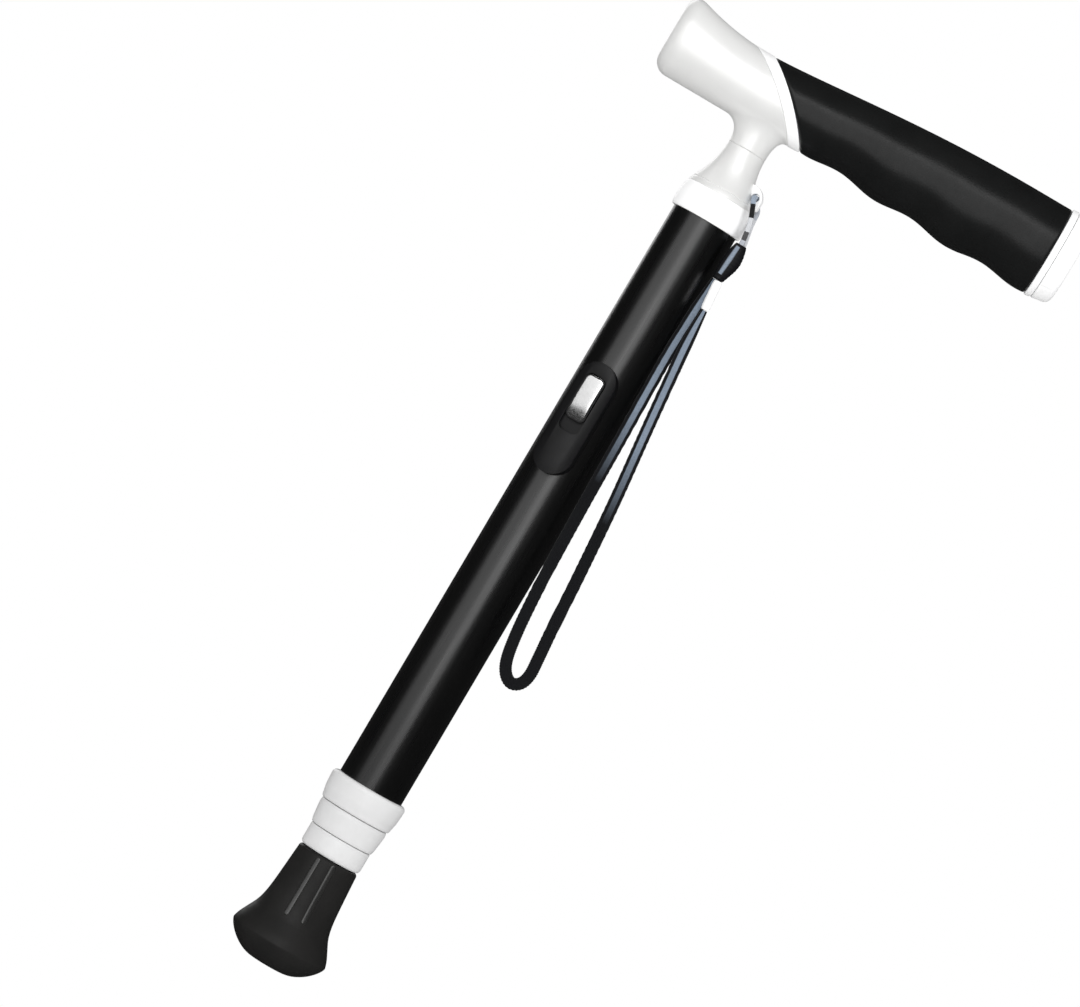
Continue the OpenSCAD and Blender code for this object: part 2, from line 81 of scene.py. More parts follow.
def shares(count):
    """From 0 to 1 in that many equal steps."""
    return [i / count for i in range(count + 1)]


# ---------- camera ----------

LEAN = radians(30.58)  # how far the shaft leans to the right in the picture
VIEW_WIDTH = 0.3676         # width of the picture at the stick
VIEW_DISTANCE = 2.2
AIM = Vector((0.0004, 0, 0.1822))


def make_camera():
    """A long lens in front of the stick, rolled so that the shaft leans to the right."""
    data = bpy.data.cameras.new("camera")
    data.sensor_width = 36
    data.lens = 36 * VIEW_DISTANCE / VIEW_WIDTH
    data.clip_start, data.clip_end = 0.1, 60
    camera = add("camera", data)
    right = Vector((cos(LEAN), 0, sin(LEAN)))
    up = Vector((-sin(LEAN), 0, cos(LEAN)))
    back = Vector((0, -1, 0))
    turn = Matrix((right, up, back)).transposed()
    camera.matrix_world = Matrix.Translation(AIM + back * VIEW_DISTANCE) @ turn.to_4x4()
    bpy.context.scene.camera = camera


make_camera()


# ---------- materials ----------

def shader_of(made):
    return made.node_tree.nodes["Principled BSDF"]


def principled(name, base, rough, metal=0.0, specular=0.5, sheen=0.0):
    """A new material with its Principled shader set."""
    made = bpy.data.materials.new(name)
    made.use_nodes = True
    values = {"Base Color": (*base, 1), "Roughness": rough, "Metallic": metal,
              "Specular IOR Level": specular, "Sheen Weight": sheen}
    for socket, value in values.items():
        shader_of(made).inputs[socket].default_value = value
    return made


def node(made, kind, **inputs):
    """A node in that material's tree, with its inputs set by name."""
    new = made.node_tree.nodes.new(kind)
    for key, value in inputs.items():
        new.inputs[key.replace("_", " ")].default_value = value
    return new


def link(made, out, into):
    made.node_tree.links.new(out, into)


def operate(made, kind, operation, *values):
    """The result of a maths node of that kind; each value is a number or another node's output."""
    new = node(made, kind)
    new.operation = operation
    for socket, value in zip(new.inputs, values):
        if isinstance(value, float):
            socket.default_value = value
        else:
            link(made, value, socket)
    return new.outputs["Value"]


def mix_shaders(made, share, first, second):
    """Two nodes' shaders mixed: all first where share is 0, all second where it is 1."""
    mix = node(made, "ShaderNodeMixShader")
    for socket, out in zip(mix.inputs, (share, first.outputs[0], second.outputs[0])):
        link(made, out, socket)
    return mix


def place(made, stretch=(1, 1, 1)):
    """Object coordinates, stretched by a factor on each axis."""
    coords = node(made, "ShaderNodeTexCoord")
    mapping = node(made, "ShaderNodeMapping", Scale=stretch)
    link(made, coords.outputs["Object"], mapping.inputs["Vector"])
    return mapping.outputs["Vector"]


def noise(made, scale, detail=3.0, stretch=(1, 1, 1)):
    """Noise with that many features to a metre or so, finer with more detail."""
    new = node(made, "ShaderNodeTexNoise", Scale=scale, Detail=detail, Roughness=0.55)
    link(made, place(made, stretch), new.inputs["Vector"])
    return new.outputs["Fac"]


def ramp(made, value, stops, interpolation="LINEAR"):
    """A colour ramp over value, from (position, colour) stops."""
    new = node(made, "ShaderNodeValToRGB")
    new.color_ramp.interpolation = interpolation
    elements = new.color_ramp.elements
    while len(elements) < len(stops):
        elements.new(0.5)
    for element, (position, colour) in zip(elements, stops):
        element.position = position
        element.color = (*colour, 1)
    link(made, value, new.inputs["Fac"])
    return new.outputs["Color"]


def tint(made, value, low, high):
    """Base colour that runs from low to high with that value."""
    link(made, ramp(made, value, [(0.35, low), (0.65, high)]), shader_of(made).inputs["Base Color"])


def rough_range(made, value, low, high):
    """Roughness that runs from low to high with that value."""
    new = node(made, "ShaderNodeMapRange", From_Min=0.3, From_Max=0.7, To_Min=low, To_Max=high)
    link(made, value, new.inputs["Value"])
    link(made, new.outputs["Result"], shader_of(made).inputs["Roughness"])


def bump(made, heights, strength, depth):
    """Bump from one or more height values, added up."""
    total = heights[0]
    for height in heights[1:]:
        total = operate(made, "ShaderNodeMath", "ADD", total, height)
    new = node(made, "ShaderNodeBump", Strength=strength, Distance=depth)
    link(made, total, new.inputs["Height"])
    link(made, new.outputs["Normal"], shader_of(made).inputs["Normal"])


def pearl_silver():
    """Satin silver paint on the castings: a fine flake under a soft, dull sheen."""
    made = principled("pearl_silver", (0.76, 0.76, 0.75), 0.35, metal=0.18, specular=1.0)
    tint(made, noise(made, 55, detail=2), (0.75, 0.75, 0.74), (0.775, 0.775, 0.765))
    rough_range(made, noise(made, 160), 0.32, 0.38)
    bump(made, [noise(made, 5200, detail=1)], 0.08, 0.00004)
    return made


def white_plastic(name, shade):
    """Moulded white plastic, with a faint cloudiness and a fine grain."""
    made = principled(name, (shade,) * 3, 0.34, specular=0.45)
    tint(made, noise(made, 70), (shade - 0.02,) * 3, (shade + 0.015,) * 3)
    rough_range(made, noise(made, 240), 0.3, 0.4)
    bump(made, [noise(made, 2600, detail=2)], 0.08, 0.00004)
    return made


def black_anodised():
    """Drawn and anodised aluminium: faint lines along the tube under a dark, even colour."""
    made = principled("black_anodised", (0.0012, 0.0012, 0.0013), 0.3, specular=1.0)
    drawn = noise(made, 900, detail=4, stretch=(1, 1, 0.03))
    speck = noise(made, 4200, detail=2)
    tint(made, noise(made, 30), (0.001, 0.001, 0.0011), (0.0016, 0.0016, 0.0016))
    rough_range(made, drawn, 0.26, 0.33)
    bump(made, [drawn, speck], 0.06, 0.00004)
    return made


def grip_rubber():
    """Soft black rubber with a fine pebbled grain."""
    made = principled("grip_rubber", (0.0066, 0.0069, 0.0069), 0.3, specular=0.24)
    grain = node(made, "ShaderNodeTexVoronoi", Scale=1500.0)
    link(made, place(made), grain.inputs["Vector"])
    fine = noise(made, 3600)
    tint(made, noise(made, 60, detail=5), (0.0057, 0.006, 0.006), (0.0076, 0.0079, 0.0079))
    rough_range(made, noise(made, 420), 0.27, 0.33)
    bump(made, [grain.outputs["Distance"], fine], 0.18, 0.00007)
    return made


def tip_rubber():
    """Harder moulded rubber, duller and a little browner than the grip's."""
    made = principled("tip_rubber", (0.013, 0.0129, 0.0127), 0.44, specular=0.15)
    tint(made, noise(made, 80, detail=5), (0.0118, 0.0116, 0.0112), (0.0148, 0.0144, 0.0139))
    rough_range(made, noise(made, 350, detail=4), 0.4, 0.48)
    bump(made, [noise(made, 1300, detail=5)], 0.14, 0.00006)
    return made


def moulded(name, base, rough, specular=0.45):
    """A plain moulded plastic with a fine spark-eroded grain."""
    made = principled(name, base, rough, specular=specular)
    tint(made, noise(made, 90), tuple(c * 0.9 for c in base), tuple(c * 1.1 for c in base))
    rough_range(made, noise(made, 300), rough - 0.05, rough + 0.05)
    bump(made, [noise(made, 2400)], 0.12, 0.00005)
    return made


def metal(name, base, rough):
    """A machined or plated metal with fine marks."""
    made = principled(name, base, rough, metal=1.0)
    marks = noise(made, 1400, detail=4)
    tint(made, noise(made, 120), tuple(c * 0.93 for c in base), tuple(min(1, c * 1.05) for c in base))
    rough_range(made, marks, rough * 0.75, rough * 1.3)
    bump(made, [marks], 0.06, 0.00003)
    return made


def blend_colours(made, kind, factor, colour):
    """A colour mix node with that colour linked to its second input."""
    mix = made.node_tree.nodes.new("ShaderNodeMix")
    mix.data_type, mix.blend_type = "RGBA", kind
    mix.inputs["Factor"].default_value = factor
    link(made, colour, mix.inputs["B"])
    return mix


def strap_uv(made):
    """The strap's uv, and its two parts: u across the front, and v along it in metres."""
    uv = node(made, "ShaderNodeUVMap")
    parts = node(made, "ShaderNodeSeparateXYZ")
    link(made, uv.outputs["UV"], parts.inputs["Vector"])
    return uv.outputs["UV"], parts.outputs["X"], parts.outputs["Y"]


def woven(name, stops, across, along, plain=None):
    """Webbing with a plaited weave, across and along times a unit of u and v, and colour stops over u.
    plain is (middle, from, to): the colour turns to ink within that distance of the middle."""
    made = principled(name, INK, 0.75, specular=0.2, sheen=0.1)
    uv, u, v = strap_uv(made)
    colour = ramp(made, u, stops)
    if plain:
        middle, start, end = plain
        off = operate(made, "ShaderNodeMath", "SUBTRACT", v, middle)
        share = node(made, "ShaderNodeMapRange", From_Min=start, From_Max=end)
        link(made, operate(made, "ShaderNodeMath", "ABSOLUTE", off), share.inputs["Value"])
        fade = blend_colours(made, "MIX", 1.0, colour)
        fade.inputs["A"].default_value = (*INK, 1)
        link(made, share.outputs["Result"], fade.inputs["Factor"])
        colour = fade.outputs["Result"]
    fibre = noise(made, 2600)
    shaded = blend_colours(made, "MULTIPLY", 0.45, ramp(made, fibre, [(0.3, (0.45,) * 3), (0.7, (1,) * 3)]))
    link(made, colour, shaded.inputs["A"])
    link(made, shaded.outputs["Result"], shader_of(made).inputs["Base Color"])
    heights = []
    for slant in (1, -1):
        scaled = node(made, "ShaderNodeMapping", Scale=(across, along * slant, 1))
        link(made, uv, scaled.inputs["Vector"])
        wave = node(made, "ShaderNodeTexWave", Scale=1.0, Distortion=0.4, Detail=1.0)
        wave.wave_type, wave.bands_direction = "BANDS", "DIAGONAL"
        link(made, scaled.outputs["Vector"], wave.inputs["Vector"])
        heights.append(wave.outputs["Fac"])
    bump(made, [*heights, fibre], 0.5, 0.00012)
    return made


INK = (0.0035, 0.004, 0.0055)
GREY_BLUE = (0.26, 0.31, 0.38)
# the ribs' rubber is a little lighter than the foot's: a faint painted highlight along them, under a
# glossier finish
RIB = moulded("rib_rubber", (0.016, 0.0158, 0.0152), 0.3, specular=0.8)
SILVER = pearl_silver()
WHITE = white_plastic("white_plastic", 0.87)
SOFT_WHITE = white_plastic("soft_white_plastic", 0.6)
BLACK = black_anodised()
GRIP = grip_rubber()
TIP = tip_rubber()
DARK = moulded("dark_plastic", (0.006, 0.006, 0.0065), 0.4, specular=0.3)
NYLON = moulded("nylon", (0.72, 0.71, 0.67), 0.45)
STEEL = metal("steel", (0.56, 0.57, 0.58), 0.3)
SPRING = metal("spring_steel", (0.1, 0.1, 0.11), 0.4)
CHROME = metal("bright_metal", (0.86, 0.86, 0.86), 0.2)
BRASS = metal("brass", (0.72, 0.55, 0.26), 0.28)


# ---------- meshes ----------

def smooth(data, angle):
    """Shades it smooth, but for edges sharper than that angle in degrees."""
    data.shade_smooth()
    data.set_sharp_from_angle(angle=radians(angle))


def finish_data(name, data, material, body, cad, angle):
    """A piece from mesh data: normals outwards, smooth up to that angle; it rides on body and stands
    for the CAD nodes."""
    form = bmesh.new()
    form.from_mesh(data)
    bmesh.ops.recalc_face_normals(form, faces=form.faces)
    form.to_mesh(data)
    form.free()
    smooth(data, angle)
    data.materials.append(material)
    piece = add(name, data)
    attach(piece, body)
    if cad:
        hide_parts(*cad)
    return piece


def finish_mesh(name, points, faces, material, slot, body=STICK, cad=(), angle=32, uvs=None):
    """A piece from points in millimetres and faces, with a uv for each point if it has any."""
    data = bpy.data.meshes.new(name)
    data.from_pydata([Vector(p) * MM for p in points], [], faces)
    if uvs:
        layer = data.uv_layers.new(name="UVMap")
        for loop in data.loops:
            layer.data[loop.index].uv = uvs[loop.vertex_index]
    return finish_data(name, data, material, body, cad, angle)


def circle(count):
    """(cosine, sine) of each step round a circle."""
    return [(cos(tau * k / count), sin(tau * k / count)) for k in range(count)]


def rounded(outline, closed=True):
    """An outline of (a, b, radius) points with each corner turned into an arc of that radius."""
    made = []
    count, steps = len(outline), 4
    most = 0.48             # of a side, so that two corners never meet on it
    for i, (a, b, radius) in enumerate(outline):
        here = Vector((a, b))
        if radius <= 0 or (not closed and i in (0, count - 1)):
            made.append((a, b))
            continue
        before = Vector(outline[i - 1][:2]) - here
        after = Vector(outline[(i + 1) % count][:2]) - here
        reach = min(radius, before.length * most, after.length * most)
        start, end = here + before.normalized() * reach, here + after.normalized() * reach
        for t in shares(steps):
            point = start * (1 - t) ** 2 + here * 2 * t * (1 - t) + end * t ** 2
            made.append((point.x, point.y))
    return made


def turned(name, outline, material, **options):
    """A piece turned about the shaft's axis from a closed outline of (radius, height) points."""
    rows = [[(r * c, r * s, z) for r, z in outline] for c, s in circle(ROUND)]
    return lofted(name, rows, material, ring=True, **options)


def loft(rows, ring=False):
    """Points and faces through closed rows of points. As a ring the last row joins the first, and
    otherwise the two ends are capped."""
    count = len(rows[0])
    points = [p for row in rows for p in row]
    faces = []
    for i in range(len(rows) if ring else len(rows) - 1):
        here, there = i * count, (i + 1) % len(rows) * count
        for k in range(count):
            j = (k + 1) % count
            faces.append((here + k, here + j, there + j, there + k))
    if not ring:
        faces.append(tuple(range(count)))
        faces.append(tuple(range(len(points) - count, len(points))))
    return points, faces


def lofted(name, rows, material, ring=False, **options):
    """A piece lofted through rows of points."""
    return finish_mesh(name, *loft(rows, ring), material, **options)


def smooth_route(route, parts):
    """More points along a route: a Catmull-Rom curve through every one of them."""
    p = [Vector(q) for q in route]
    ends = [p[0] * 2 - p[1], *p, p[-1] * 2 - p[-2]]
    made = []
    for i in range(1, len(ends) - 2):
        a, b, c, d = ends[i - 1:i + 3]
        for t in shares(parts)[:-1]:
            made.append(0.5 * (b * 2 + (c - a) * t + (a * 2 - b * 5 + c * 4 - d) * t ** 2
                               + (b * 3 - a - c * 3 + d) * t ** 3))
    return [*made, p[-1]]


def route_length(route):
    return sum((b - a).length for a, b in zip(route, route[1:]))


def tape(route, wide, thick, sides, relief):
    """Rings and uv pairs of a soft tape along a route. relief(u, v) gives the height of its weave.
    u runs across the tape's front from 0 to 1, and is 1 all over its back."""
    rows, uvs = [], []
    travelled = 0.0
    for i, here in enumerate(route):
        before, after = route[max(i - 1, 0)], route[min(i + 1, len(route) - 1)]
        tangent = (after - before).normalized()
        across = tangent.cross(Vector((0.001, 1, 0.001))).normalized()
        outward = across.cross(tangent)
        if i:
            travelled += (here - route[i - 1]).length
        w, t = wide(travelled), thick(travelled)
        row = []
        for c, s in circle(sides):
            flat_c, flat_s = abs(c) ** 0.8 * copysign(1, c), abs(s) ** 0.55 * copysign(1, s)
            lift = 1 + relief((flat_c + 1) / 2, travelled)
            row.append(here + across * (w / 2 * flat_c * lift) + outward * (t / 2 * flat_s * lift))
            uvs.append(((flat_c + 1) / 2 if s <= 1e-6 else 1.0, travelled * MM))
        rows.append(row)
    return rows, uvs


def plait(height, strands, pitch):
    """A tape's relief: strands that cross at a slant, so many across it and one pitch apart along it."""
    return lambda u, v: (height * sin(tau * (strands * u + v / pitch))
                         * sin(tau * (strands * u - v / pitch)))


# ---------- cords: the leader through the lug, and the wrist strap ----------

LEADER_ROUTE = [
    (14.4, -8.9, 292.3), (14.4, -8.9, 293.3), (13.9, -9.4, 297.2), (12.9, -9.5, 301.5),
    (11.3, -8.4, 305.6), (10.2, -6, 308.3), (10.9, -2.9, 308.8), (11.7, 0.3, 308.5),
    (13.7, 0.3, 305.2), (14, -1.6, 302.6), (14.3, -4.2, 299.4), (14.9, -6.2, 296),
    (15.4, -7.2, 293.3), (15.4, -7.2, 292.3)
]
STRAP_ROUTE = [
    (12.8, -7.5, 277.9), (12.6, -7.5, 268), (12.1, -7.6, 250), (12.3, -8.3, 235),
    (12.8, -9.3, 215), (13.3, -10.2, 190), (14.1, -11, 165), (15, -11.2, 150),
    (16.1, -11.3, 139), (17.6, -11.3, 131), (19.9, -11.3, 126.6), (23, -11.3, 124.9),
    (25.8, -11.3, 126.5), (27, -11.3, 130.5), (26.6, -11.3, 137), (25.6, -11.1, 148),
    (24.2, -10.9, 168), (21.9, -10.7, 195), (18.9, -10.5, 222), (16.7, -10.2, 243),
    (15.8, -10, 252), (15.3, -10, 260), (15.1, -10, 266.8)
]
LEADER_D = 1.8
STRAP_W = 4.4
STRAP_T = 1.5
KEEPER_LOW, KEEPER_HIGH = 278.0, 292.3
KEEPER_Y = -8.7
KEEPER_SHAPE = [            # from its lower end up: height, left and right edge, half depth
    (KEEPER_LOW, 11.9, 15.3, 1.4), (278.6, 11.6, 15.7, 2.0), (280.5, 11.4, 16.4, 2.3),
    (283.5, 11.3, 17.4, 2.5), (286.0, 11.4, 17.8, 2.5), (288.5, 11.7, 17.6, 2.4),
    (290.8, 12.2, 17.1, 2.2), (KEEPER_HIGH, 12.7, 16.6, 1.6)
]


def keeper_at(z):
    """Left edge, right edge and half depth of the keeper at a height."""
    for (z0, *a), (z1, *b) in zip(KEEPER_SHAPE, KEEPER_SHAPE[1:]):
        if z <= z1:
            return [between(p, q, (z - z0) / (z1 - z0)) for p, q in zip(a, b)]
    return KEEPER_SHAPE[-1][1:]


def make_keeper():
    """The stitched keeper round both runs of the strap, with the webbing's end laid over its left side."""
    rings = 48
    rows = []
    for t in shares(rings):
        z = between(KEEPER_LOW, KEEPER_HIGH, t)
        left, right, deep = keeper_at(z)
        wave = 0.05 * sin(tau * z / 1.3)      # the stitches, 1.3 apart
        rows.append([Vector(((left + right) / 2 + ((right - left) / 2 + wave) * c,
                             KEEPER_Y + (deep + wave) * copysign(abs(s) ** 0.8, s), z))
                     for c, s in circle(40)])
    shade = moulded("keeper_leather", (0.0045, 0.0045, 0.006), 0.55, specular=0.3)
    wrap = lofted("keeper_wrap", rows, shade, cad=["strap_keeper"], slot="webbing", angle=55)

    strip_low, strip_long, parts = 280.2, 11.0, 24
    route = []
    for t in shares(parts):
        z = strip_low + strip_long * t
        route.append(Vector((between(13.2, 13.95, t), KEEPER_Y - keeper_at(z)[2] * 0.9 - 0.05, z)))
    rows, uvs = tape(route, lambda v: 1.9 - 0.7 * abs(v / strip_long - 0.55), lambda v: 0.9, 18,
                     lambda u, v: 0.03 * sin(tau * v / 0.9))
    edge = (0.05, 0.06, 0.08)
    strip = woven("keeper_stripe", [(0.0, edge), (0.25, GREY_BLUE), (0.8, GREY_BLUE), (1.0, edge)], 8, 2600)
    return [wrap, lofted("keeper_strip", rows, strip, slot="webbing", angle=60, uvs=uvs)]


def make_bead():
    """The long white bead on the strap, leaning with it, with softened ends and a seam at its middle."""
    outline = rounded([(0.9, 0.0, 0.1), (1.35, 0.0, 0.35), (1.6, 1.2, 0.6), (1.62, 5.2, 0.3),
                       (1.52, 5.4, 0.1), (1.62, 5.6, 0.3), (1.6, 9.6, 0.6), (1.35, 10.8, 0.35),
                       (0.9, 10.8, 0.1)])
    lean = Matrix.Rotation(radians(-5), 3, "Y")
    base = Vector((15.05, -10, 267.0))
    rows = [[base + lean @ Vector((r * c, r * s, z)) for r, z in outline] for c, s in circle(48)]
    return lofted("strap_bead_shell", rows, WHITE, ring=True, cad=["strap_bead"], slot="white_plastic",
                  angle=45)


def make_leader():
    """A braided cord, doubled through the lug's eye, with bands of colour along it."""
    route = smooth_route(LEADER_ROUTE, 10)
    total = route_length(route)
    rows, uvs = tape(route, lambda v: LEADER_D, lambda v: LEADER_D, 20, plait(0.05, 2, 1.1))
    shade = principled("leader_braid", GREY_BLUE, 0.65, specular=0.3, sheen=0.2)
    along = node(shade, "ShaderNodeMapRange", From_Min=0.0, From_Max=total * MM)
    link(shade, strap_uv(shade)[2], along.inputs["Value"])
    pale, mist, dark = (0.5, 0.51, 0.53), (0.38, 0.4, 0.44), (0.06, 0.06, 0.063)
    bands = [(0.0, mist), (0.04, dark), (0.11, pale), (0.22, INK), (0.33, GREY_BLUE), (0.62, mist),
             (0.75, pale)]
    colour = ramp(shade, along.outputs["Result"], bands, "CONSTANT")
    link(shade, colour, shader_of(shade).inputs["Base Color"])
    bump(shade, [noise(shade, 3000)], 0.2, 0.00006)
    piece = lofted("leader_cord", rows, shade, cad=["strap_leader"], slot="cord", angle=60, uvs=uvs)


def make_strap(bead):
    """The webbing of the wrist strap: black, with a grey-blue stripe that stops above the loop."""
    route = smooth_route(STRAP_ROUTE, 22)
    total = route_length(route)

    def width(v):
        """Gathered to 0.6 of its width where it starts, and to half where it ends in the bead."""
        start, end = min(1.0, v / 10), min(1.0, (total - v) / 16)
        return STRAP_W * (0.6 + 0.4 * start) * (0.5 + 0.5 * sin(end * pi / 2))

    rows, uvs = tape(route, width, lambda v: STRAP_T, 32, plait(0.06, 3, 1.6))
    edge, stripe = 0.27, (0.22, 0.27, 0.34)
    half = total / 2 * MM
    shade = woven("webbing_stripe", [(0.0, INK), (edge, INK), (edge + 0.04, stripe), (0.7, stripe),
                                     (0.74, INK)], 14, 2600, plain=(half, half - 0.08, half - 0.05))
    piece = lofted("wrist_webbing", rows, shade, cad=["strap_loop"], slot="webbing", angle=60, uvs=uvs)


KEEPER = make_keeper()
make_leader()
make_strap(make_bead())


# ---------- shaft: tubes, collars and rubber tip ----------

def size_of(name):
    """(radius, lowest, highest) of a round CAD node on the shaft's axis, in millimetres."""
    low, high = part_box(name)
    return high.x / MM, low.z / MM, high.z / MM


TUBE_WALL = 1.2
TUBES = {"outer_tube": STICK, "tube_2": "shaft_2", "tube_3": "shaft_3", "tube_4": "shaft_4"}
SLIDING_GAP = 0.06          # between a collar and the tube that slides in it
COLLAR_LIP = 1.8            # the collar's floor under its own tube
# each lower collar: its body, its tube, the tube that slides in it, and its outline as (out, up, corner),
# first from its widest radius and lower end, then from its widest radius and upper end
COLLARS = {
    "collar_1": (STICK, "outer_tube", "tube_2",
                 [(-1.3, 0, 0.3), (-0.95, 0.7, 0.5), (-0.8, 1.8, 0.4), (-0.32, 3.8, 1)],
                 [(-0.05, -2.9, 1.2), (0, -1.2, 0.9), (-0.6, -0.25, 0.6), (-1.6, 0, 0.25)]),
    "collar_2": ("shaft_2", "tube_2", "tube_3",
                 [(-1.2, 0, 0.25), (-0.95, 0.55, 0.4), (-0.72, 1.4, 0.5)],
                 [(-0.2, -3.4, 1.6), (0, -1.2, 0.8), (-0.25, 0.1, 0.4)]),
    "collar_3": ("shaft_3", "tube_3", "tube_4",
                 [(-0.9, 0, 0.4), (-0.25, 0.5, 0.5), (0, 1.5, 0.8)],
                 [(0, 0.1, 0.5)]),
}


def make_tubes():
    for name, body in TUBES.items():
        r, low, high = size_of(name)
        inner = r - TUBE_WALL
        outline = rounded([(inner, low, 0.2), (r, low, 0.35), (r, high, 0.35), (inner, high, 0.2)])
        turned(name + "_shell", outline, BLACK, body=body, cad=[name], slot="black_tube")


def make_collars():
    """The three white collars at the tubes' lower ends, and the white one at the top."""
    for name, (body, tube, inner_tube, lower, upper) in COLLARS.items():
        r, low, high = size_of(name)
        bore, seat, lip = size_of(inner_tube)[0] + SLIDING_GAP, size_of(tube)[0], low + COLLAR_LIP
        outline = [(bore, low, 0.2)]
        outline += [(r + out, low + up, corner) for out, up, corner in lower]
        outline += [(r + out, high + up, corner) for out, up, corner in upper]
        outline += [(seat, high + upper[-1][1], 0.1), (seat, lip, 0.2), (bore, lip, 0.2)]
        turned(name + "_shell", rounded(outline), SOFT_WHITE, body=body, cad=[name], slot="white_plastic")

    r, low, high = size_of("upper_collar")
    seat, narrowing, straight, steps = size_of("outer_tube")[0], 1.05, 2.2, 8
    outline = [(seat, low, 0.15), (r - 0.45, low, 0.3), (r - 0.1, low + 0.7, 0.5)]
    for t in shares(steps)[:-1]:
        outline.append((r - narrowing * t ** 2.6, between(low + straight, high, t), 0.6))
    outline += [(r - narrowing, high, 0.2), (seat, high, 0.1)]
    turned("upper_collar_shell", rounded(outline), WHITE, cad=["upper_collar"], slot="white_plastic")


FOOT_FLAT = 7.0             # radius of the flat that stands on the floor
FOOT_WIDE_Z = 8.5           # height at which the foot is widest
FOOT_SLOPE_Z = 16.9         # height at which its bulge runs into the slope
FOOT_NECK = 11.2            # its radius at the collar
FOOT_RIM = 0.6              # height of its rolled upper edge


def foot_side(t):
    """Radius of the foot's slope, t from 0 above the bulge to 1 at the collar."""
    return FOOT_NECK + 1.75 * (1 - t) + 1.3 * (1 - t) ** 7


def make_tip():
    """The bell-shaped rubber foot, with rings in its sole."""
    r, low, high = size_of("rubber_tip")
    groove_z, bore, floor_z = 0.8, size_of("tube_4")[0], 9.5
    sole_z, bulge_steps, slope_steps = low + 0.4, 14, 14
    outline = [(0.0, sole_z, 0), (2.4, sole_z, 0), (2.4, groove_z, 0.1), (3.3, groove_z, 0.1),
               (3.3, low, 0.15), (4.8, low, 0.15), (4.8, groove_z, 0.1), (5.7, groove_z, 0.1),
               (5.7, low, 0.15), (FOOT_FLAT, low, 0.5)]
    for i in range(1, bulge_steps):
        a = pi / 2 * i / bulge_steps
        outline.append((FOOT_FLAT + (r - FOOT_FLAT) * sin(a) ** 1.25,
                        FOOT_WIDE_Z * (1 - cos(a) ** 1.43), 0.3))
    outline += [(r - inwards, FOOT_WIDE_Z + up, corner) for inwards, up, corner in
                ((0, 0, 0.3), (0.25, 1.0, 0.4), (0.8, 2.6, 0.8), (1.6, 4.2, 1))]
    for t in shares(slope_steps):
        outline.append((foot_side(t), between(FOOT_SLOPE_Z, high - FOOT_RIM, t), 0.6))
    outline += [(FOOT_NECK - 0.6, high, 0.3), (bore, high, 0.2), (bore, floor_z, 0.2), (0.0, floor_z, 0)]
    profile = rounded(outline, closed=False)[1:-1]
    points = [(radius * c, radius * s, z) for c, s in circle(ROUND) for radius, z in profile]
    sole, inside = len(points), len(points) + 1
    points += [(0, 0, profile[0][1]), (0, 0, floor_z)]
    faces = []
    count = len(profile)
    for k in range(ROUND):
        here, there = k * count, (k + 1) % ROUND * count
        faces += [(here + i, there + i, there + i + 1, here + i + 1) for i in range(count - 1)]
        faces += [(sole, there, here), (inside, here + count - 1, there + count - 1)]
    finish_mesh("rubber_foot", points, faces, TIP, body="shaft_4", cad=["rubber_tip"], slot="tip_rubber",
                angle=40)


def make_rib(name, from_turn, to_turn, low, high):
    """A half-round mould rib on the foot's front, from one turn and height to the other."""
    wide, height_share, sunk, steps = 0.95, 0.36, 0.05, 60
    slope_high = size_of("rubber_tip")[2] - FOOT_RIM
    rows = []
    for i in range(steps + 1):
        off = (1 - cos(pi * i / steps)) / 2
        z = between(low, high, off)
        a = radians(between(from_turn, to_turn, off) - 90)
        middle = foot_side((z - FOOT_SLOPE_Z) / (slope_high - FOOT_SLOPE_Z)) - sunk
        end = min(z - low, high - z, wide)
        size = wide * sqrt(max(1 - (1 - end / wide) ** 2, 0.0004))
        out, side = Vector((cos(a), sin(a), 0)), Vector((-sin(a), cos(a), 0))
        rows.append([out * (middle + size * height_share * c) + side * size * s + Vector((0, 0, z))
                     for c, s in circle(20)])
    lofted(name, rows, RIB, body="shaft_4", slot="tip_rubber", angle=60)


make_tubes()
make_collars()
make_tip()
make_rib("mould_rib_left", -13, -15, 18.6, 41.0)
make_rib("mould_rib_right", 16, 15, 18.6, 41.2)


# ---------- neck ----------

BOLT_R = 4.0
STUB_R = 7.05               # of the neck and the head's stub where they meet


def make_neck():
    """The silver neck: a bright lip, a shallow groove, and a waist that narrows to the seam."""
    _, low, high = size_of("neck_flare")
    outline = [(BOLT_R, low, 0.1), (12.3, low, 0.15), (12.25, low + 0.4, 0.2), (11.8, low + 1.55, 0.3),
               (11.55, low + 1.9, 0.12), (11.36, low + 2.06, 0.08)]
    waist_low, spread, steps = low + 2.25, 4.46, 26
    for t in shares(steps)[:-1]:
        outline.append((STUB_R + spread * (1 - t) ** 2, between(waist_low, high, t), 0.2))
    outline += [(STUB_R, high, 0.25), (BOLT_R, high, 0.1)]
    turned("neck_casting", rounded(outline), SILVER, cad=["neck_flare"], slot="silver_plastic", angle=40)


make_neck()


# ---------- handle ----------

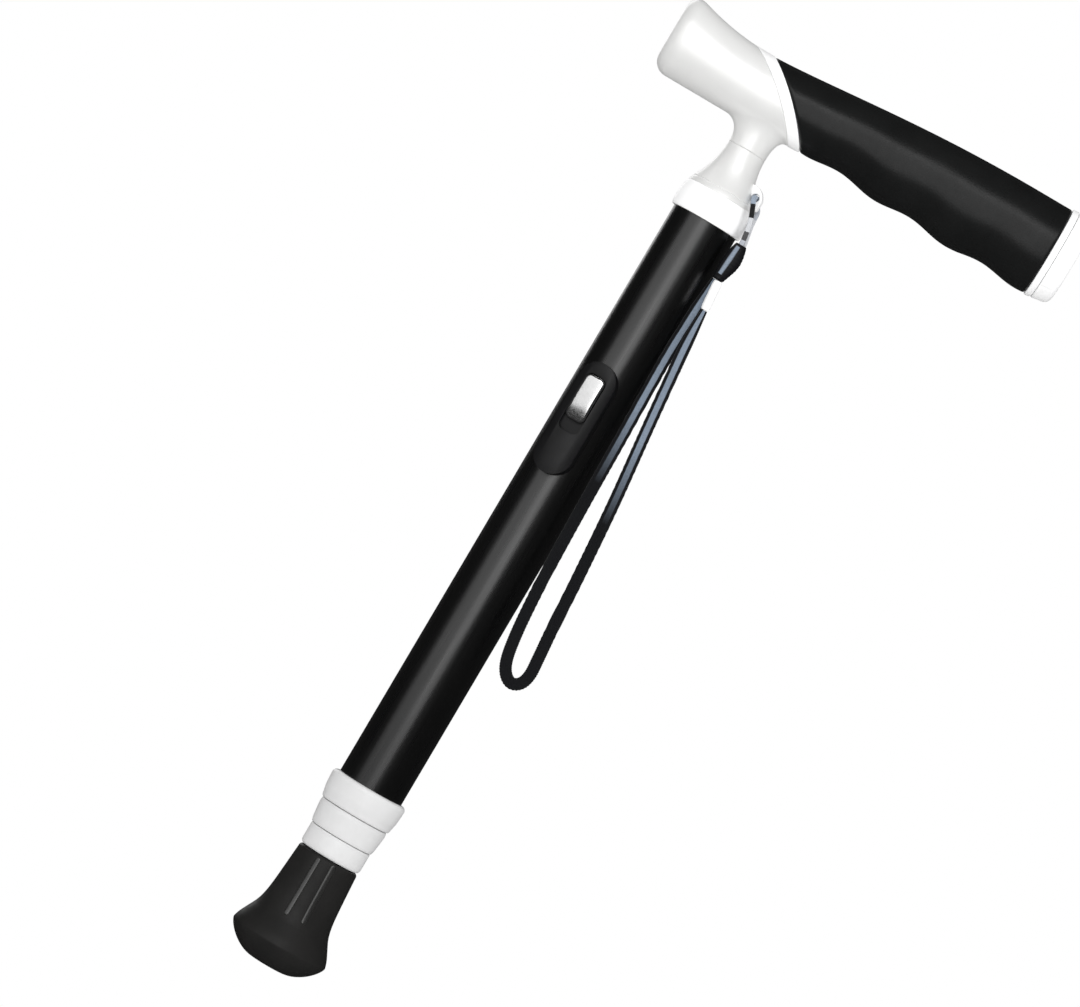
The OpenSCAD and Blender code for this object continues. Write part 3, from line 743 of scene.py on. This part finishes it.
HEAD_LOW = 329.2            # underside of the handle at the head
HEAD_TOP = 353.7            # upper side where head and grip meet
HEAD_REACH = 42.6
HEAD_CURVE = 0.0057         # how fast the head's upper side rises to its end
GRIP_REACH = 105.8
GRIP_RISE, GRIP_SWELL = 6.5, 102    # of the grip's upper side: how high, and over what length
FINGER_DEPTH = 1.65
FINGER_PITCH = 28.3
BAND_W = 3.7
SADDLE_X = -9.0             # lowest point of the upper side
HALF_WAIST = 13             # half of the handle's depth at the shaft
ARC_X, ARC_Z, ARC_R = -67.6, 271.4, 101.5   # the slanted cut between band and grip
RING_W = 2.4
ROUND_POWER = 2.2           # of the handle's section: 2 is an ellipse, and more is squarer
CORE_W, CORE_LOW, CORE_TOP = 15.0, 335.0, 348.5
CORE_START = -14.0          # left end of the core's hole in the head
SECTION_N = 120             # points round a section


def swell(t):
    """A soft step from 0 to 1 that starts quickly."""
    return (1 - cos(pi * max(0.0, min(1.0, t)) ** 0.72)) / 2


def upper_line(x):
    """Height of the handle's upper side."""
    if x < SADDLE_X - 2:
        return HEAD_TOP + HEAD_CURVE * (x - SADDLE_X + 2) ** 2
    return HEAD_TOP + GRIP_RISE * swell((x - SADDLE_X) / GRIP_SWELL)


def lower_line(x):
    """Height of its lower side: flat under the head, and wavy under the fingers."""
    step_x, grip_x, crest_x, last_x, step, slope = -5, 16, 17, 79, 0.8, 0.04
    if x < grip_x:
        return HEAD_LOW + step * max(0.0, x - step_x) / (grip_x - step_x)
    crest = HEAD_LOW + step - slope * (min(x, last_x) - grip_x)
    return crest + FINGER_DEPTH * (1 - cos(tau * (x - crest_x) / FINGER_PITCH)) / 2


def half_width(x):
    """Half of its depth, which grows a little towards both ends."""
    if x < 0:
        return HALF_WAIST + max(0.0, -x - 10) / 30
    return HALF_WAIST + 2 * min(1.0, x / 100)


def power(v):
    """A sine or cosine, bent so that the section it draws is squarer than an ellipse."""
    return copysign(abs(v) ** (2 / ROUND_POWER), v)


def section_point(x, angle, inset=0.0):
    """The handle's surface at x and an angle round its section; inset moves it inwards."""
    low, high = lower_line(x) + inset, upper_line(x) - inset
    wide = half_width(x) - inset
    return Vector((x, wide * power(cos(angle)),
                   (low + high) / 2 - (high - low) / 2 * power(sin(angle))))


def on_cut(angle, radius):
    """Where the section's line at that angle meets the slanted cut of that radius."""
    x = 0.0
    for _ in range(12):
        z = section_point(x, angle).z
        x = ARC_X + sqrt(radius ** 2 - (z - ARC_Z) ** 2)
    return x


def core_point(x, angle):
    """The rectangular hole for the core bar, at the same angle round."""
    c, s = cos(angle), -sin(angle)
    half_w, half_h = CORE_W / 2, (CORE_TOP - CORE_LOW) / 2
    scale = min(half_w / max(abs(c), 1e-6), half_h / max(abs(s), 1e-6))
    return Vector((x, c * scale, (CORE_LOW + CORE_TOP) / 2 + s * scale))


ANGLES = [tau * k / SECTION_N for k in range(SECTION_N)]
LEFT_CUT = {a: on_cut(a, ARC_R - BAND_W) for a in ANGLES}   # between the head and the band
RIGHT_CUT = {a: on_cut(a, ARC_R) for a in ANGLES}           # between the band and the grip


def edge_rolls(radius, steps=5):
    """(along, inward) pairs that roll an edge over with that radius, from the side to the end face."""
    made = []
    for i in range(steps + 1):
        a = pi / 2 * i / steps
        made.append((radius * (1 - sin(a)), radius * (1 - cos(a))))
    return made


def sleeve(start, end, inset, start_roll, end_roll, steps):
    """Rows for a hollow length of the handle. start and end give x for an angle; the edges are rolled."""
    def row(along, inward):
        made = []
        for a in ANGLES:
            x0, x1 = start(a), end(a)
            x = x0 + along if along >= 0 else x1 + along
            made.append(section_point(min(max(x, x0), x1), a, inset + inward))
        return made

    rows = [row(u, v) for u, v in reversed(edge_rolls(start_roll))]
    for t in shares(steps)[1:-1]:
        rows.append([section_point(between(start(a) + start_roll, end(a) - end_roll, t), a, inset)
                     for a in ANGLES])
    rows += [row(-max(u, 1e-9), v) for u, v in edge_rolls(end_roll)]
    return rows + [[core_point(edge(a), a) for a in ANGLES] for edge in (end, start)]


def make_sleeve(name, cad, material, slot, *shape):
    lofted(name, sleeve(*shape), material, ring=True, cad=[cad], slot=slot, angle=50)


def grip_end(_angle):
    return GRIP_REACH


def ring_end(_angle):
    return GRIP_REACH + RING_W


make_sleeve("grip_rubber_sleeve", "grip_sleeve", GRIP, "grip_rubber",
            RIGHT_CUT.get, grip_end, 0.05, 1.3, 0.9, 170)
make_sleeve("trim_band_ring", "trim_band", WHITE, "white_plastic",
            LEFT_CUT.get, RIGHT_CUT.get, -0.12, 0.35, 0.35, 10)


SEAM_Z = 321.2              # between the neck and the head's stub
STUB_STRAIGHT = 1.2         # length of the stub before its fillet starts
END_ROLL = 5.5              # radius of the head's rounded end
SEAM_ROLL = 0.35


def underside(x, y):
    """Height of the handle's lower surface above the point (x, y)."""
    low, high = lower_line(x), upper_line(x)
    share = 1 - min(1.0, abs(y) / half_width(x)) ** ROUND_POWER
    return (low + high) / 2 - (high - low) / 2 * share ** (1 / ROUND_POWER)


def fillet_reach(angle):
    """How far from the shaft's axis the stub's fillet meets the handle, by direction."""
    right, left, side = 10.2, 13.2, 9.9
    long_side = right if cos(angle) > 0 else left
    return 1 / hypot(cos(angle) / long_side, sin(angle) / side)


def fillet_point(angle, t):
    """A point of the fillet's curve, t from 0 on the underside to 1 at the top of the stub's wall."""
    c, s, reach, step = cos(angle), sin(angle), fillet_reach(angle), 0.05
    z, wall_z = underside(reach * c, reach * s), SEAM_Z + STUB_STRAIGHT
    slope = (underside((reach + step) * c, (reach + step) * s) - z) / step
    lead, rise = 0.62 * (reach - STUB_R), 0.55 * (z - wall_z)
    corners = [(reach, z), (reach - lead, z - slope * lead), (STUB_R, wall_z + rise), (STUB_R, wall_z)]
    weights = [(1 - t) ** 3, 3 * t * (1 - t) ** 2, 3 * t * t * (1 - t), t ** 3]
    r, h = (sum(w * corner[k] for w, corner in zip(weights, corners)) for k in (0, 1))
    return Vector((r * c, r * s, h))


def stub_rings(loop):
    """Rings that run from a loop of points on the underside, down the fillet, to the stub and its bore."""
    turns = [atan2(p.y, p.x) for p in loop]
    rings = []
    under_n, fillet_n = 5, 16
    for t in shares(under_n)[1:]:
        ring = []
        for p, a in zip(loop, turns):
            x = between(p.x, fillet_reach(a) * cos(a), t)
            y = between(p.y, fillet_reach(a) * sin(a), t)
            ring.append(Vector((x, y, underside(x, y))))
        rings.append(ring)
    rings += [[fillet_point(a, t) for a in turns] for t in shares(fillet_n)[1:]]
    for r, h in [(STUB_R, SEAM_Z + 0.45), (STUB_R - 0.04, SEAM_Z + 0.2), (STUB_R - 0.14, SEAM_Z + 0.06),
                 (STUB_R - 0.3, SEAM_Z), (BOLT_R, SEAM_Z), (BOLT_R, CORE_LOW - 0.7)]:
        rings.append([Vector((r * cos(a), r * sin(a), h)) for a in turns])
    return rings


def make_head():
    """The cast head: a bar with a rounded end, cut on the slant, and its stub grown out of the underside."""
    x0, n, hole_x = -HEAD_REACH, SECTION_N, -18.5
    # the end face dips by up to 0.2 from its middle, and then rolls over into the sides
    rows = [[section_point(x0 + 0.2 * (1 - inset / 12.4) ** 2, a, inset) for a in ANGLES]
            for inset in (12.3, 11.0, 9.7, 8.3, 6.9)]
    for along, inward in reversed(edge_rolls(END_ROLL, 10)):
        rows.append([section_point(x0 + max(along, 0.06), a, inward) for a in ANGLES])
    first_side, side_n, side_x = len(rows), 88, x0 + END_ROLL
    for t in shares(side_n)[1:]:
        rows.append([section_point(between(side_x, LEFT_CUT[a] - SEAM_ROLL, t), a) for a in ANGLES])
    last_side = len(rows) - 1
    for along, inward in edge_rolls(SEAM_ROLL, 4)[1:]:
        rows.append([section_point(LEFT_CUT[a] - along, a, inward) for a in ANGLES])
    rows.append([core_point(LEFT_CUT[a] - 0.01, a) for a in ANGLES])
    rows.append([core_point(CORE_START, a) for a in ANGLES])
    points, faces = loft(rows)

    # the faces where the stub grows are taken out, and its rings start from the hole's edge
    bottom, half_hole = n // 4, 19
    row_a = next(i for i in range(first_side, last_side) if rows[i][bottom].x > hole_x)
    row_b, col_a, col_b = last_side, bottom - half_hole, bottom + half_hole
    inside = {i * n + k for i in range(row_a, row_b) for k in range(col_a, col_b)}
    faces = [f for f in faces if not (len(f) == 4 and f[0] in inside)]
    before = [row_a * n + k for k in range(col_a, col_b)] + [i * n + col_b for i in range(row_a, row_b)]
    before += [row_b * n + k for k in range(col_b, col_a, -1)]
    before += [i * n + col_a for i in range(row_b, row_a, -1)]
    for ring in stub_rings([points[i] for i in before]):
        here = list(range(len(points), len(points) + len(ring)))
        points += ring
        for j in range(len(here)):
            m = (j + 1) % len(here)
            faces.append((before[j], before[m], here[m], here[j]))
        before = here
    faces.append(tuple(before))
    finish_mesh("head_casting", points, faces, SILVER, cad=["handle_head"], slot="silver_plastic", angle=50)


def make_end_cap():
    """The cap: rounded over at its outer end, two shut lines on each side, and a screw hole."""
    x0, x1 = GRIP_REACH + RING_W, 114.7
    proud, joint_roll, end_roll, gap = 0.6, 0.5, 2.4, 0.12
    line_off, line_deep, line_wide = 12.3, 0.22, 0.28
    bore, screw_r, steps = 4.4, 2.2, 14
    middle = (CORE_LOW + CORE_TOP) / 2
    angles = [tau * k / 360 for k in range(360)]

    def shell(x, inset):
        made = []
        for a in angles:
            p = section_point(x, a, inset - proud)
            off = min(abs(abs(p.z - (lower_line(x) + upper_line(x)) / 2) - line_off), 2.0)
            along = max(0.0, min(1.0, (x - x0 - 0.2) / 0.5, (x1 - 2.6 - x) / 1.2))
            dip = line_deep * along * exp(-(off / line_wide) ** 2)
            made.append(section_point(x, a, inset - proud + dip))
        return made

    def hole(x, r):
        return [Vector((x, r * cos(a), middle - r * sin(a))) for a in angles]

    rows = [shell(x0 + gap + u, v) for u, v in reversed(edge_rolls(joint_roll))]
    rows += [shell(between(x0 + gap + joint_roll, x1 - end_roll, t), 0) for t in shares(steps)[1:-1]]
    rows += [shell(x1 - u, v) for u, v in edge_rolls(end_roll, 10)]
    rows += [shell(x1, 5.0), shell(x1, 6.8), hole(x1, bore + 0.35), hole(x1 - 0.08, bore + 0.15),
             hole(x1 - 0.3, bore), hole(x1 - 2.6, bore), hole(x1 - 2.6, screw_r), hole(x0, screw_r)]
    lofted("end_cap_shell", rows, WHITE, ring=True, cad=["end_cap"], slot="white_plastic", angle=50)


make_head()
make_sleeve("end_ring_band", "end_ring", WHITE, "white_plastic", grip_end, ring_end, -0.5, 0.5, 0.45, 6)
make_end_cap()


# ---------- small fittings ----------

def soften(piece, width):
    """Rounds a CAD node's edges with modifiers: flat faces are joined first, then the edges bevelled."""
    weld = piece.modifiers.new("weld", "WELD")
    weld.merge_threshold = 0.000002
    flat = piece.modifiers.new("flat", "DECIMATE")
    flat.decimate_type = "DISSOLVE"
    flat.angle_limit = radians(0.6)
    bevel = piece.modifiers.new("bevel", "BEVEL")
    bevel.width = width * MM
    bevel.segments = 3
    bevel.limit_method = "ANGLE"
    bevel.angle_limit = radians(30)
    smooth(piece.data, 40)


def make_lug():
    """The white ear on the neck that the leader goes through, with its edges rounded."""
    turn = radians(-15)
    root, reach, low, high, corner, thick, edge = 6.0, 13.9, 304.5, 312.6, 4.5, 3.0, 0.4
    eye_x, eye_z, eye_r = 11.3, 308.8, 1.35
    middle_x, middle_z = 9.5, 308.5
    outer = [(root, low), (reach - 0.8, low), (reach - 0.23, low + 0.23), (reach, low + 0.8)]
    for i in range(17):
        a = pi / 2 * i / 16
        outer.append((reach - corner + corner * cos(a), high - corner + corner * sin(a)))
    outer.append((root, high))
    ear = [(a - copysign(min(edge, abs(a - middle_x)), a - middle_x),
            b - copysign(min(edge, abs(b - middle_z)), b - middle_z)) for a, b in outer]
    eye = [(eye_x + (eye_r + edge) * c, eye_z + (eye_r + edge) * s) for c, s in circle(40)]
    curve = bpy.data.curves.new("lug", "CURVE")
    curve.dimensions, curve.fill_mode = "2D", "BOTH"
    curve.bevel_depth, curve.bevel_resolution = edge * MM, 3
    curve.extrude = (thick / 2 - edge) * MM
    for loop in (ear, eye):
        spline = curve.splines.new("POLY")
        spline.points.add(len(loop) - 1)
        spline.use_cyclic_u = True
        for point, (a, b) in zip(spline.points, loop):
            point.co = (a * MM, b * MM, 0, 1)
    holder = bpy.data.objects.new("lug_curve", curve)
    data = bpy.data.meshes.new_from_object(holder)
    bpy.data.objects.remove(holder)
    data.transform(Matrix.Rotation(turn, 4, "Z") @ Matrix.Rotation(pi / 2, 4, "X"))
    form = bmesh.new()
    form.from_mesh(data)
    bmesh.ops.remove_doubles(form, verts=form.verts, dist=0.000001)
    form.to_mesh(data)
    form.free()
    data.name = "lug_ear"
    data.materials.clear()
    finish_data("lug_ear", data, WHITE, body=STICK, cad=["strap_lug"], angle=40)


SLIDER_TURN = Matrix.Rotation(radians(-17), 3, "Z")
PLATE_FRONT = 13.8          # the slide's plate, as distances from the shaft's axis
PLATE_BACK = 13.05
PLATE_LOW, PLATE_HIGH = 207.5, 229.0


def make_slider():
    """The chrome thumb piece, domed both ways, on the dark plate that runs behind the housing's window."""
    half_w, half_h, corner, middle, outer_r, edge = 3.8, 8.5, 2.2, 220.5, 16.9, 0.8
    across, along = 40, 90
    rows = []
    for i in range(along + 1):
        off = -half_h * cos(pi * i / along)
        bow = 0.5 * (off / half_h) ** 2 + 0.75 * max(0.0, -off / half_h) ** 2
        beyond = max(0.0, abs(off) - (half_h - corner))
        half = half_w - corner + sqrt(max(corner ** 2 - beyond ** 2, 0.0))
        sides = [-half * cos(pi * k / across) for k in range(across + 1)]
        row = []
        for x in sides:
            inside = corner - hypot(max(0.0, abs(x) - half_w + corner), beyond)
            inside = max(0.0, min(inside, edge))
            drop = edge - sqrt(edge ** 2 - (edge - inside) ** 2) + bow
            row.append(Vector((x, drop - sqrt(outer_r ** 2 - x * x), middle + off)))
        row += [Vector((-x, -PLATE_FRONT + 0.2, middle + off)) for x in sides]
        rows.append([SLIDER_TURN @ p for p in row])
    lofted("thumb_slide", rows, CHROME, body="slider", cad=["release_slider"], slot="bright_metal", angle=50)

    half = 4.9
    outline = rounded([(-half, -PLATE_BACK, 0.2), (half, -PLATE_BACK, 0.2), (half, -PLATE_FRONT, 0.3),
                       (-half, -PLATE_FRONT, 0.3)])
    ends = [(PLATE_LOW, 0.96), (PLATE_LOW + 0.2, 0.99), (PLATE_LOW + 0.6, 1),
            (PLATE_HIGH - 0.6, 1), (PLATE_HIGH - 0.2, 0.99), (PLATE_HIGH, 0.96)]
    rows = [[SLIDER_TURN @ Vector((x * share, y, z)) for x, y in outline] for z, share in ends]
    lofted("slide_plate", rows, DARK, body="slider", slot="dark_plastic", angle=40)


def make_springs():
    """The slider's two coil springs, as one fixed mesh; the real ones are squeezed as it goes down."""
    wire, coil_r, side_x, out_y, turns, per_turn = 0.2, 0.75, 3.95, 12.75, 6, 36
    low, high = (corner.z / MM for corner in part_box("return_springs"))
    rise = (high - low - 2 * wire) / (turns * per_turn)
    up = Vector((0, 0, 1))
    points, faces = [], []
    for x in (-side_x, side_x):
        rows = []
        for i in range(turns * per_turn + 1):
            a = tau * i / per_turn
            out = Vector((cos(a), sin(a), 0))
            middle = Vector((x, -out_y, low + wire + rise * i)) + out * coil_r
            rows.append([SLIDER_TURN @ (middle + out * wire * c + up * wire * s) for c, s in circle(10)])
        coil, sides = loft(rows)
        faces += [tuple(i + len(points) for i in face) for face in sides]
        points += coil
    piece = finish_mesh("slide_springs", points, faces, SPRING, cad=["return_springs"], slot="steel",
                        angle=60)
    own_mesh(piece)


def dress_cad_nodes():
    """Materials for the CAD nodes that stay, and soft edges for those that show."""
    looks = [
        (DARK, "dark_plastic", ["slider_housing", "handle_core", "top_plug", "plug_2", "plug_3", "plug_4"]),
        (SPRING, "steel", ["latch_leaf", "latch_rivet"]),
        (STEEL, "steel", ["cap_screw", "neck_bolt", "tip_washer"]),
        (BRASS, "brass", ["stud_2", "stud_3", "stud_4"]),
        (NYLON, "nylon", ["expander_2", "expander_3", "expander_4"]),
    ]
    for material, slot, names in looks:
        for piece in (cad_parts[name] for name in names):
            piece.data.materials.clear()
            piece.data.materials.append(material)
            smooth(piece.data, 30)
    soften(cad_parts["slider_housing"], 0.45)
    for name in ("cap_screw", "handle_core", "top_plug", "latch_leaf"):
        soften(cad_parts[name], 0.15)


make_lug()
make_slider()
make_springs()
dress_cad_nodes()


# ---------- light, floor and backdrop ----------

STICK_MIDDLE = Vector((0.02, 0, 0.2))
SOFTBOXES = [  # name, azimuth and elevation in degrees, distance, width, height, radiance, mirrored
    ("key", -3, 8, 2.4, 1.15, 1.85, 1.9, True),
    ("key_left", -37, 8, 2.4, 1.75, 1.85, 0.9, True),
    ("brow", 2, 33, 2.4, 2.2, 0.42, 3.4, True),
    ("top", 5, 66, 2.4, 2.0, 1.4, 0.9, False),
    ("right_fill", 62, 8, 2.6, 1.2, 1.8, 2.2, False),
    ("back_left", 205, 22, 2.6, 1.0, 1.8, 1.6, True),
    ("back_right", 150, 18, 2.6, 1.0, 1.6, 1.6, False),
]


def softbox(name, azimuth, elevation, distance, wide, high, radiance, mirrored):
    """An area light of that radiance, aimed at the stick; one that isn't mirrored only fills."""
    data = bpy.data.lights.new(name, "AREA")
    data.shape, data.size, data.size_y = "RECTANGLE", wide, high
    data.energy = radiance * pi * wide * high
    light = add(name, data)
    a, e = radians(azimuth), radians(elevation)
    back = Vector((sin(a) * cos(e), -cos(a) * cos(e), sin(e)))
    light.location = STICK_MIDDLE + back * distance
    light.rotation_mode = "QUATERNION"
    light.rotation_quaternion = (-back).to_track_quat("-Z", "Y")
    light.visible_camera = False
    light.visible_glossy = mirrored


def make_world():
    """White where the camera sees it, a softer grey as light, and dark in reflections."""
    world = bpy.data.worlds.new("studio")
    bpy.context.scene.world = world
    world.use_nodes = True
    world.node_tree.nodes.clear()
    seen, felt, mirrored = (node(world, "ShaderNodeBackground", Color=(*shade, 1)) for shade in
                            ((1, 1, 1), (0.72, 0.72, 0.722), (0.03, 0.03, 0.03)))
    path = node(world, "ShaderNodeLightPath")
    light = mix_shaders(world, path.outputs["Is Glossy Ray"], felt, mirrored)
    mix = mix_shaders(world, path.outputs["Is Camera Ray"], light, seen)
    link(world, mix.outputs[0], node(world, "ShaderNodeOutputWorld").inputs["Surface"])


FLOOR_DROP = 0.53           # below the foot, so that the stick can open downwards
FLOOR_R = 3.3


def make_floor():
    """A round pale floor below the fully opened stick, fading into the white of the studio."""
    form = bmesh.new()
    rings, around = 40, 96
    centre = form.verts.new((0, 0, 0))
    rows = []
    for i in range(1, rings + 1):
        r = FLOOR_R * (i / rings) ** 1.5
        rows.append([form.verts.new((r * c, r * s, 0)) for c, s in circle(around)])
    for k in range(around):
        form.faces.new((centre, rows[0][k], rows[0][(k + 1) % around]))
    for inner, outer in zip(rows, rows[1:]):
        for k in range(around):
            j = (k + 1) % around
            form.faces.new((inner[k], outer[k], outer[j], inner[j]))
    data = bpy.data.meshes.new("floor")
    form.to_mesh(data)
    form.free()
    data.shade_smooth()
    floor = add("floor", data)
    floor.location.z = CAD_BOX[0].z - FLOOR_DROP
    paint = principled("pale_floor", (0.9, 0.9, 0.9), 0.9)
    fade = node(paint, "ShaderNodeMapRange", From_Min=0.5, From_Max=2.6)
    fade.interpolation_type = "SMOOTHSTEP"
    link(paint, operate(paint, "ShaderNodeVectorMath", "LENGTH", place(paint)), fade.inputs["Value"])
    glow = node(paint, "ShaderNodeEmission", Strength=1.0)
    mix = mix_shaders(paint, fade.outputs["Result"], shader_of(paint), glow)
    link(paint, mix.outputs[0], paint.node_tree.nodes["Material Output"].inputs["Surface"])
    data.materials.append(paint)
    floor.visible_glossy = False


for row in SOFTBOXES:
    softbox(*row)
make_world()
make_floor()
bpy.context.scene.view_settings.view_transform = "Standard"
